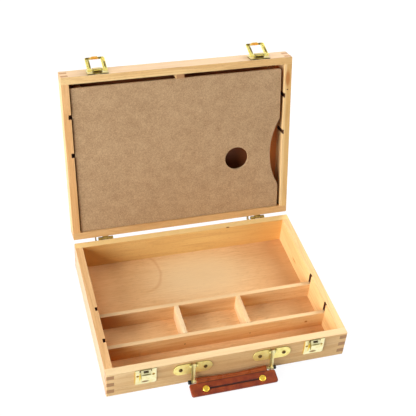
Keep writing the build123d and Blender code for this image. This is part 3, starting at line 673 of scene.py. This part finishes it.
# Painted shade down the left side of each strap.
strap_lines = [((x - 2.2, -147.3, 24.0), (2.4, 14, 30), "#947E38") for x in STRAPS]
bail_lines = [((x + aside, y, z), radii, tint) for x in CATCHES
              for aside, y, z, radii, tint in (
    (-11.0, 253.5, 337.2, (4, 4, 4), OLIVE),                # painted shade in the corners of the bail
    (0.0, 253.5, 337.2, (9, 4, 4), "#F49A0C"),              # finger tab, orange
    (8.5, 253.5, 337.2, (3.6, 4, 4), OLIVE),
    (-10.2, 240.0, 334.5, (1.6, 15, 7), "#5C4004"),         # painted shade in the grooves of its two legs
    (13.8, 237.0, 334.5, (1.6, 12, 7), "#5C4004"),
)]
plate_lines = [((x + aside, 218.3, 329.8), (9.5, 2.3, 2.9), "#1E1808")
               for x in CATCHES for aside in (-10.5, 10.5)]  # painted shadow under the latch plate's edge
print("tarnished lines:", len(catch_lines + strap_lines + bail_lines + plate_lines))

# %% Metal parts
hinges = [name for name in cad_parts
          if name.startswith(("hinge_base_leaf", "hinge_lid_leaf", "hinge_pin"))]
dress(plated("brass_plated_catches", "#FFF8C8", "#F6E8A8", 0.34, sheared=0.0, spots=catch_lines),
      "catch_left", "catch_right")
dress(plated("brass_plated_brackets", "#FFF2A0", "#F6E088", 0.42, sheared=0.0),
      "handle_bracket_left", "handle_bracket_right")
dress(plated("brass_plated_latches", "#FCF2B6", "#F0DE96", 0.3, sheared=LID_TURN,
             spots=plate_lines),
      "latch_plate_left", "latch_plate_right")
dress(plated("brass_plated_bails", "#FFF296", "#F8DF62", 0.26, spots=bail_lines, metallic=0.4),
      "latch_bail_left", "latch_bail_right", "latch_pin_left", "latch_pin_right")
dress(plated("brass_plated_straps", "#FFF4B8", "#FAE89C", 0.3, spots=strap_lines, metallic=0.45),
      "handle_strap_left", "handle_strap_right", "handle_rod",
      "handle_pivot_pin_left", "handle_pivot_pin_right")
# A darker brass for the hinges.
dress(plated("brass_dark_hinges", "#B79B55", "#8A6F35", 0.36), *hinges)
dress(plated("brass_rivets", "#FFDC5C", "#F2BE3C", 0.24), "grip_rivets")
dress(plated("brass_small_screws", "#D4AC4C", "#A88034", 0.38, cloud=2.5),
      "hinge_base_screws", "hinge_lid_screws", "catch_screws", "latch_plate_screws")
dress(plated("bronzed_bracket_screws", "#7D6238", "#3F2C18", 0.34, cloud=3.0),
      "handle_bracket_screws")

# %% [markdown]
# ## Black end caps
# The rod ends in two small caps of moulded black plastic, glossy from a polished mould, with only
# the faintest orange peel. Black plastic is never quite black: a dark grey keeps its form readable.

# %% Caps
PEEL_WIDTH = 1 / 0.9                        # of one dimple, in millimetres

caps = blank("black_moulded_plastic")
at = node(caps, "ShaderNodeTexCoord")
peel = node(caps, "ShaderNodeTexNoise", {
    "Vector": at.outputs["Object"], "Scale": 1000 / PEEL_WIDTH, "Detail": 2.0,
}).outputs[0]
black = node(caps, "ShaderNodeMix", {
    FACTOR: peel, LOWER: colour("#0E0E10"), UPPER: colour("#1B1B1E"),
}, data_type="RGBA").outputs[MIXED]
gloss = node(caps, "ShaderNodeMapRange", {"Value": peel, "To Min": 0.16, "To Max": 0.3}).outputs[0]
relief = node(caps, "ShaderNodeBump", {
    "Height": peel, "Strength": 0.1, "Distance": 0.03 * MM,
}).outputs[0]
shader = node(caps, "ShaderNodeBsdfPrincipled", {
    "Base Color": black, "Roughness": gloss, "Normal": relief, "IOR": 1.49,
})
node(caps, "ShaderNodeOutputMaterial", {"Surface": shader.outputs[0]})
dress(caps, "handle_rod_cap_left", "handle_rod_cap_right")

# %% [markdown]
# ## The leather grip
# The grip is one strip of thick leather folded round the rod, so its top is a roll and its lower
# part a flat flap of two layers, held by two rivets with a pressed line between them. A hand has
# squeezed the roll thinner in its middle. It is modelled as it hangs, straight under the rod,
# because every size is square to the axes there, and laid down on the table at the end. The roll
# is a disc extruded along the rod and narrowed step by step; the flap and its neck are blocks with
# bevelled edges. A voxel remesh then melts the three into one skin, as the leather is.

# %% Helpers for modelling
def only(*things):
    """Selects just these objects; the last one is active."""
    bpy.ops.object.select_all(action="DESELECT")
    for thing in things:
        thing.select_set(True)
    bpy.context.view_layer.objects.active = things[-1]


def settle(thing):
    """Puts an object's place, turn and scale into its mesh."""
    only(thing)
    bpy.ops.object.transform_apply(location=True, rotation=True, scale=True)


def apply_all(thing):
    """Applies every modifier, top to bottom."""
    only(thing)
    for name in [modifier.name for modifier in thing.modifiers]:
        bpy.ops.object.modifier_apply(modifier=name)


def pick_edges(thing, test):
    """Selects, in edit mode, the edges whose two ends pass a test."""
    only(thing)
    bpy.ops.object.mode_set(mode="EDIT")
    bpy.ops.mesh.select_mode(type="EDGE")
    bpy.ops.mesh.select_all(action="DESELECT")
    bpy.ops.object.mode_set(mode="OBJECT")
    points = thing.data.vertices
    for edge in thing.data.edges:
        edge.select = test(points[edge.vertices[0]].co, points[edge.vertices[1]].co)
    bpy.ops.object.mode_set(mode="EDIT")


print("modelling operators of Blender", bpy.app.version_string)

# %% Roll of the grip
ROLL_HALF, ROLL_END, ROLL_WAIST = 56.0 * MM, 5.4 * MM, 2.9 * MM
STEPS = 28


def roll_radius(x):
    """Radius of the roll at a place along the rod."""
    return ROLL_WAIST + (ROLL_END - ROLL_WAIST) * abs(x / ROLL_HALF) ** 1.6


bpy.ops.object.select_all(action="DESELECT")
bpy.ops.mesh.primitive_circle_add(vertices=48, radius=ROLL_END, fill_type="NGON",
                                  location=(-ROLL_HALF, 0, 0), rotation=(0, pi / 2, 0))
grip = bpy.context.active_object
grip.name = "leather_grip"
settle(grip)
bpy.ops.object.mode_set(mode="EDIT")
bpy.ops.mesh.select_all(action="SELECT")
step = 2 * ROLL_HALF / STEPS
for i in range(STEPS):
    x = -ROLL_HALF + (i + 1) * step
    bpy.ops.mesh.extrude_region_move(TRANSFORM_OT_translate={"value": (step, 0, 0)})
    shrink = roll_radius(x) / roll_radius(x - step)
    bpy.ops.transform.resize(value=(1, shrink, shrink), center_override=(x, 0, 0))
bpy.ops.mesh.select_all(action="SELECT")
bpy.ops.mesh.normals_make_consistent(inside=False)
bpy.ops.object.mode_set(mode="OBJECT")
print("roll:", len(grip.data.vertices), "points, waist", round(ROLL_WAIST / MM, 1), "mm")

# %% Flap of the grip
FLAP_HALF, FLAP_TOP, FLAP_EDGE = 68.5 * MM, -4.0 * MM, -25.5 * MM
FLAP_THICK, FLAP_CORNER = 5.5 * MM, 3.6 * MM

bpy.ops.object.select_all(action="DESELECT")
bpy.ops.mesh.primitive_cube_add(size=1, location=(0, 0, (FLAP_TOP + FLAP_EDGE) / 2),
                                scale=(2 * FLAP_HALF, FLAP_THICK, FLAP_TOP - FLAP_EDGE))
flap = bpy.context.active_object
settle(flap)
pick_edges(flap, lambda a, b: abs(a.y - b.y) > MM)
bpy.ops.mesh.bevel(offset=FLAP_CORNER, segments=8)
bpy.ops.object.mode_set(mode="OBJECT")
round_edges = flap.modifiers.new("round edges", "BEVEL")
round_edges.width = 2.0 * MM
round_edges.segments = 6
round_edges.limit_method = "ANGLE"
round_edges.angle_limit = radians(50)
apply_all(flap)
print("flap:", [round(v / MM, 1) for v in flap.dimensions], "mm")

# %% Neck between roll and flap
NECK_DROP = 12.0 * MM                       # from the rod's middle down into the flap

bpy.ops.object.select_all(action="DESELECT")
bpy.ops.mesh.primitive_cube_add(size=1, location=(0, 0, -NECK_DROP / 2),
                                scale=(2 * ROLL_HALF - 2 * MM, FLAP_THICK, NECK_DROP))
neck = bpy.context.active_object
settle(neck)
pick_edges(neck, lambda a, b: abs(a.z - b.z) > MM)
bpy.ops.mesh.bevel(offset=1.6 * MM, segments=5)
bpy.ops.object.mode_set(mode="OBJECT")
only(flap, neck, grip)
bpy.ops.object.join()
print("grip before remesh:", [round(v / MM, 1) for v in grip.dimensions])

# %% [markdown]
# ### The pressed line
# A heated wheel has pressed a line into the flap's face from one rivet to the other. In the model a
# long thin bar is sunk into the face and taken away between two remeshes: the first makes one skin
# to cut into, and the second, whose voxels are small, softens the cut's rims as the hot wheel does.

# %% Pressed line and skin
LINE_DROP, LINE_RADIUS, LINE_LENGTH = 16.5 * MM, 1.25 * MM, 78.0 * MM
VOXEL = 0.45 * MM


def add_skin(thing):
    """Puts a voxel remesh on the stack of modifiers."""
    skin = thing.modifiers.new("skin", "REMESH")
    skin.mode = "VOXEL"
    skin.voxel_size = VOXEL


bpy.ops.object.select_all(action="DESELECT")
bpy.ops.mesh.primitive_cylinder_add(vertices=20, radius=LINE_RADIUS, depth=LINE_LENGTH,
                                    location=(0, -FLAP_THICK / 2 - 0.25 * MM, -LINE_DROP),
                                    rotation=(0, pi / 2, 0))
wheel = bpy.context.active_object
settle(wheel)
add_skin(grip)
press = grip.modifiers.new("press", "BOOLEAN")
press.operation = "DIFFERENCE"
press.object = wheel
press.solver = "EXACT"
apply_all(grip)
bpy.data.objects.remove(wheel)
add_skin(grip)
ease = grip.modifiers.new("ease", "SMOOTH")
ease.factor = 0.5
ease.iterations = 5
apply_all(grip)
print("grip skin:", len(grip.data.polygons), "faces")

# %% Lay the grip down
GRIP_PLACE = Vector((2.5, -148.7, 6.8)) * MM    # on the rod, a little left of its middle
GRIP_TURN = -radians(90 - 9.47)             # it lies 9.47 degrees below level

grip.location = GRIP_PLACE
grip.rotation_euler = (GRIP_TURN, 0, 0)
settle(grip)
bpy.ops.object.shade_smooth()
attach(grip, "grip")
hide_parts("handle_grip")
for name, pick in (("lowest", min), ("highest", max)):
    print("grip's", name, "corner:",
          [round(pick(v.co[i] for v in grip.data.vertices) / MM, 1) for i in (X, Y, Z)])

# %% [markdown]
# ### Leather
# Cowhide, vegetable tanned and dyed a reddish chestnut, then waxed: a fine pebbled grain under one
# millimetre, clouds where the dye took more or less, and a dull shine. The roll is lighter than the
# flap, with darker lengthwise streaks. The pressed line and the crease below the roll are painted
# darker as painted shade. All of it is laid out in millimetres from the rod on the hanging grip, so
# the coordinates are laid down with it.

# %% Dyed hide
leather = blank("leather_chestnut_cowhide")
at = node(leather, "ShaderNodeTexCoord")
hang = node(leather, "ShaderNodeMapping", {
    "Vector": at.outputs["Object"], "Location": GRIP_PLACE,
    "Rotation": (GRIP_TURN, 0, 0), "Scale": (MM, MM, MM),
}, vector_type="TEXTURE").outputs[0]
clouds = node(leather, "ShaderNodeTexNoise", {
    "Vector": hang, "Scale": 1 / 12, "Detail": 3.0,
}).outputs[0]
clouds = node(leather, "ShaderNodeMapRange", {
    "Value": clouds, "From Min": 0.35, "From Max": 0.68,
}).outputs[0]
hide = node(leather, "ShaderNodeMix", {
    FACTOR: clouds, LOWER: colour("#862F10"), UPPER: colour("#AA4A1A"),
}, data_type="RGBA").outputs[MIXED]
pebbles = node(leather, "ShaderNodeTexVoronoi", {
    "Vector": hang, "Scale": 1 / 0.9,
}, feature="DISTANCE_TO_EDGE").outputs[0]
valleys = node(leather, "ShaderNodeMapRange", {
    "Value": pebbles, "From Max": 0.16, "To Min": 0.35, "To Max": 0.0,
}).outputs[0]
hide = node(leather, "ShaderNodeMix", {
    FACTOR: valleys, LOWER: hide, UPPER: colour("#6A2810"),
}, data_type="RGBA").outputs[MIXED]
print("leather starts with", len(leather.node_tree.nodes), "nodes")

# %% Lighter, streaked roll
ROLL_FADES, ROLL_STARTS = -6.5, -4.5        # heights on the hanging grip, in millimetres

spread = node(leather, "ShaderNodeSeparateXYZ", {"Vector": hang})
on_roll = node(leather, "ShaderNodeMapRange", {
    "Value": spread.outputs[Z], "From Min": ROLL_FADES, "From Max": ROLL_STARTS,
}).outputs[0]
lightened = node(leather, "ShaderNodeMath", {0: on_roll, 1: 0.4}, operation="MULTIPLY").outputs[0]
hide = node(leather, "ShaderNodeMix", {
    FACTOR: lightened, LOWER: hide, UPPER: colour("#C4682A"),
}, data_type="RGBA").outputs[MIXED]
roll_streaks = node(leather, "ShaderNodeTexNoise", {
    "Vector": stretched(leather, hang, 45, 1.6), "Scale": 1.0, "Detail": 2.0,
}).outputs[0]
roll_streaks = node(leather, "ShaderNodeMapRange", {
    "Value": roll_streaks, "From Min": 0.5, "From Max": 0.62, "To Max": 0.5,
}).outputs[0]
roll_streaks = node(leather, "ShaderNodeMath", {0: roll_streaks, 1: on_roll}, operation="MULTIPLY").outputs[0]
hide = node(leather, "ShaderNodeMix", {
    FACTOR: roll_streaks, LOWER: hide, UPPER: colour("#571B08"),
}, data_type="RGBA").outputs[MIXED]
print("the rubbed leather fades out", -ROLL_FADES, "mm under the rod")

# %% Pressed line and crease
# Painted shade darkens the pressed line and the crease below the roll.
# Each line's height on the hanging grip, its reach up and down, half its length, its strength.
DARK_LINES = ((-LINE_DROP / MM, 1.6, 40.5, 0.95), (-5.4, 0.9, 55.0, 0.6))

for level, reach, half, strength in DARK_LINES:
    line = node(leather, "ShaderNodeMath", {
        0: spread.outputs[Z], 1: level,
    }, operation="SUBTRACT").outputs[0]
    line = node(leather, "ShaderNodeMath", {0: line}, operation="ABSOLUTE").outputs[0]
    line = node(leather, "ShaderNodeMapRange", {
        "Value": line, "From Min": reach * 0.5, "From Max": reach * 1.4,
        "To Min": strength, "To Max": 0.0,
    }).outputs[0]
    inside = node(leather, "ShaderNodeMath", {
        0: spread.outputs[X],
    }, operation="ABSOLUTE").outputs[0]
    inside = node(leather, "ShaderNodeMath", {
        0: inside, 1: half,
    }, operation="LESS_THAN").outputs[0]
    line = node(leather, "ShaderNodeMath", {0: line, 1: inside}, operation="MULTIPLY").outputs[0]
    hide = node(leather, "ShaderNodeMix", {
        FACTOR: line, LOWER: hide, UPPER: colour("#32100A"),
    }, data_type="RGBA").outputs[MIXED]
    print("dark line", round(-level, 1), "mm under the rod,", 2 * half, "mm long")

# %% Wax
wax = node(leather, "ShaderNodeMapRange", {
    "Value": clouds, "To Min": 0.4, "To Max": 0.52,
}).outputs[0]
wax = node(leather, "ShaderNodeMath", {
    0: on_roll, 1: -0.16, 2: wax,
}, operation="MULTIPLY_ADD").outputs[0]
relief = node(leather, "ShaderNodeBump", {
    "Height": pebbles, "Strength": 0.3, "Distance": 0.15 * MM,
}).outputs[0]
shader = node(leather, "ShaderNodeBsdfPrincipled", {
    "Base Color": hide, "Roughness": wax, "Normal": relief, "IOR": 1.5, "Specular IOR Level": 0.4,
})
node(leather, "ShaderNodeOutputMaterial", {"Surface": shader.outputs[0]})
grip.data.materials.clear()
grip.data.materials.append(leather)
print("leather has", len(leather.node_tree.nodes), "nodes")

# %% [markdown]
# ## Table and room
# The box stands on a white table that fades into a white room. To the camera and in shiny
# reflections both look plain white, so the metal has something bright to show. As light they give
# only a gentle, even level: the table is really matt white paper that bounces the lamps' light.
# Near the box a share of that paper shows through the plain white, with the box's shadow on it.

# %% White table
TABLE_SIZE = 16.0                           # metres

bpy.ops.object.select_all(action="DESELECT")
bpy.ops.mesh.primitive_plane_add(size=TABLE_SIZE, location=(0, 0, 0))
table = bpy.context.active_object
table.name = "white_table"
paper = blank("white_paper_table")
seen = node(paper, "ShaderNodeLightPath")
shown = node(paper, "ShaderNodeMath", {
    0: seen.outputs["Is Camera Ray"], 1: seen.outputs["Is Glossy Ray"],
}, operation="MAXIMUM").outputs[0]
shown = node(paper, "ShaderNodeMath", {
    0: shown, 1: seen.outputs["Is Transmission Ray"],
}, operation="MAXIMUM").outputs[0]
away = node(paper, "ShaderNodeVectorMath", {
    0: node(paper, "ShaderNodeTexCoord").outputs["Object"],
}, operation="LENGTH").outputs["Value"]
plain = node(paper, "ShaderNodeMapRange", {
    "Value": away, "From Min": 0.8, "From Max": 3.0, "To Min": 0.87, "To Max": 1.0,
}).outputs[0]
share = node(paper, "ShaderNodeMath", {0: shown, 1: plain}, operation="MULTIPLY").outputs[0]
matt = node(paper, "ShaderNodeBsdfDiffuse", {"Color": colour("#EFEFF1")})
white = node(paper, "ShaderNodeEmission", {"Color": colour("#FEFEFF"), "Strength": 1.08})
both = node(paper, "ShaderNodeMixShader", {0: share, 1: matt.outputs[0], 2: white.outputs[0]})
node(paper, "ShaderNodeOutputMaterial", {"Surface": both.outputs[0]})
table.data.materials.append(paper)
print("table:", TABLE_SIZE, "m square")

# %% White room
ROOM_LEVEL = 0.05                           # of white, as light

room = bpy.context.scene.world or bpy.data.worlds.new("white room")
bpy.context.scene.world = room
room.use_nodes = True
room.node_tree.nodes.clear()
seen = node(room, "ShaderNodeLightPath")
shown = node(room, "ShaderNodeMath", {
    0: seen.outputs["Is Camera Ray"], 1: seen.outputs["Is Glossy Ray"],
}, operation="MAXIMUM").outputs[0]
shown = node(room, "ShaderNodeMath", {
    0: shown, 1: seen.outputs["Is Transmission Ray"],
}, operation="MAXIMUM").outputs[0]
# Metal sees a ceiling about half as bright as the walls, which gives its curves some contrast.
toward = node(room, "ShaderNodeTexCoord").outputs["Generated"]
toward = node(room, "ShaderNodeSeparateXYZ", {"Vector": toward})
ceiling = node(room, "ShaderNodeMapRange", {
    "Value": toward.outputs[Z], "From Min": 0.2, "From Max": 0.6, "To Min": 1.0, "To Max": 0.55,
}).outputs[0]
ceiling = node(room, "ShaderNodeMath", {
    0: ceiling, 1: seen.outputs["Is Camera Ray"],
}, operation="MAXIMUM").outputs[0]
level = node(room, "ShaderNodeMapRange", {
    "Value": shown, "To Min": ROOM_LEVEL, "To Max": ceiling,
}).outputs[0]
sky = node(room, "ShaderNodeBackground", {"Color": (1, 1, 1, 1), "Strength": level})
node(room, "ShaderNodeOutputWorld", {"Surface": sky.outputs[0]})
print("the room lights the box at", ROOM_LEVEL, "of white")

# %% [markdown]
# ## Lamps
# Four big round softboxes stand in a ring. The strongest is low on the left and lights the front,
# the right-hand inner walls and the palette. One behind on the right brightens the rims and the
# lid's upper edge. It would glare in the brass, so reflections leave it out. Two weaker ones, high
# at the back left and on the right, open up the shadows inside the compartments.

# %% Softboxes
AIM = Vector((0, 0, 0.03))
DISTANCE = 3.0


def softbox(name, azimuth, elevation, size, watts, glare=True):
    """A round lamp that looks at the box; azimuth goes right from the box's front, in degrees."""
    lamp = bpy.data.lights.new(name, "AREA")
    lamp.shape = "DISK"
    lamp.size = size
    lamp.energy = watts
    around, up = radians(azimuth), radians(elevation)
    holder = bpy.data.objects.new(name, lamp)
    bpy.context.collection.objects.link(holder)
    direction = Vector((sin(around) * cos(up), -cos(around) * cos(up), sin(up)))
    holder.location = AIM + DISTANCE * direction
    holder.rotation_euler = (holder.location - AIM).to_track_quat("Z", "Y").to_euler()
    holder.visible_glossy = glare
    print(name, "stands at", [round(v, 2) for v in holder.location])


softbox("left_softbox", -70, 19, 2.2, 112.0)
softbox("back_softbox", 143, 24, 2.2, 96.0, glare=False)
softbox("high_back_softbox", -135, 50, 1.6, 24.0)
softbox("high_right_softbox", 90, 50, 1.6, 28.0)

# %% [markdown]
# ## Camera
# A camera is built from three directions: where it looks, what is right of it and what is above it.
# Here the look comes from an azimuth and an elevation, and then the other two are rolled about it
# by a few degrees, as when a camera is held by hand.

# %% Camera
LENS, SENSOR = 76.24774, 36.0               # millimetres
CAMERA_PLACE = Vector((-0.32955, -0.94199, 1.07497))
CAMERA_TURN, CAMERA_RISE, CAMERA_ROLL = radians(-18.871), radians(40.670), radians(4.933)

data = bpy.data.cameras.new("camera")
data.sensor_width = SENSOR
data.lens = LENS
camera = bpy.data.objects.new("camera", data)
bpy.context.collection.objects.link(camera)
look = Vector((-sin(CAMERA_TURN) * cos(CAMERA_RISE), cos(CAMERA_TURN) * cos(CAMERA_RISE),
               -sin(CAMERA_RISE)))
level_right = look.cross(Vector((0, 0, 1))).normalized()
level_up = level_right.cross(look)
right = cos(CAMERA_ROLL) * level_right + sin(CAMERA_ROLL) * level_up
up = -sin(CAMERA_ROLL) * level_right + cos(CAMERA_ROLL) * level_up
axes = Matrix((right, up, -look)).transposed().to_4x4()
camera.matrix_world = Matrix.Translation(CAMERA_PLACE) @ axes
bpy.context.scene.camera = camera
bpy.context.scene.view_settings.view_transform = "Standard"
print("camera lens", round(data.lens, 2), "mm")
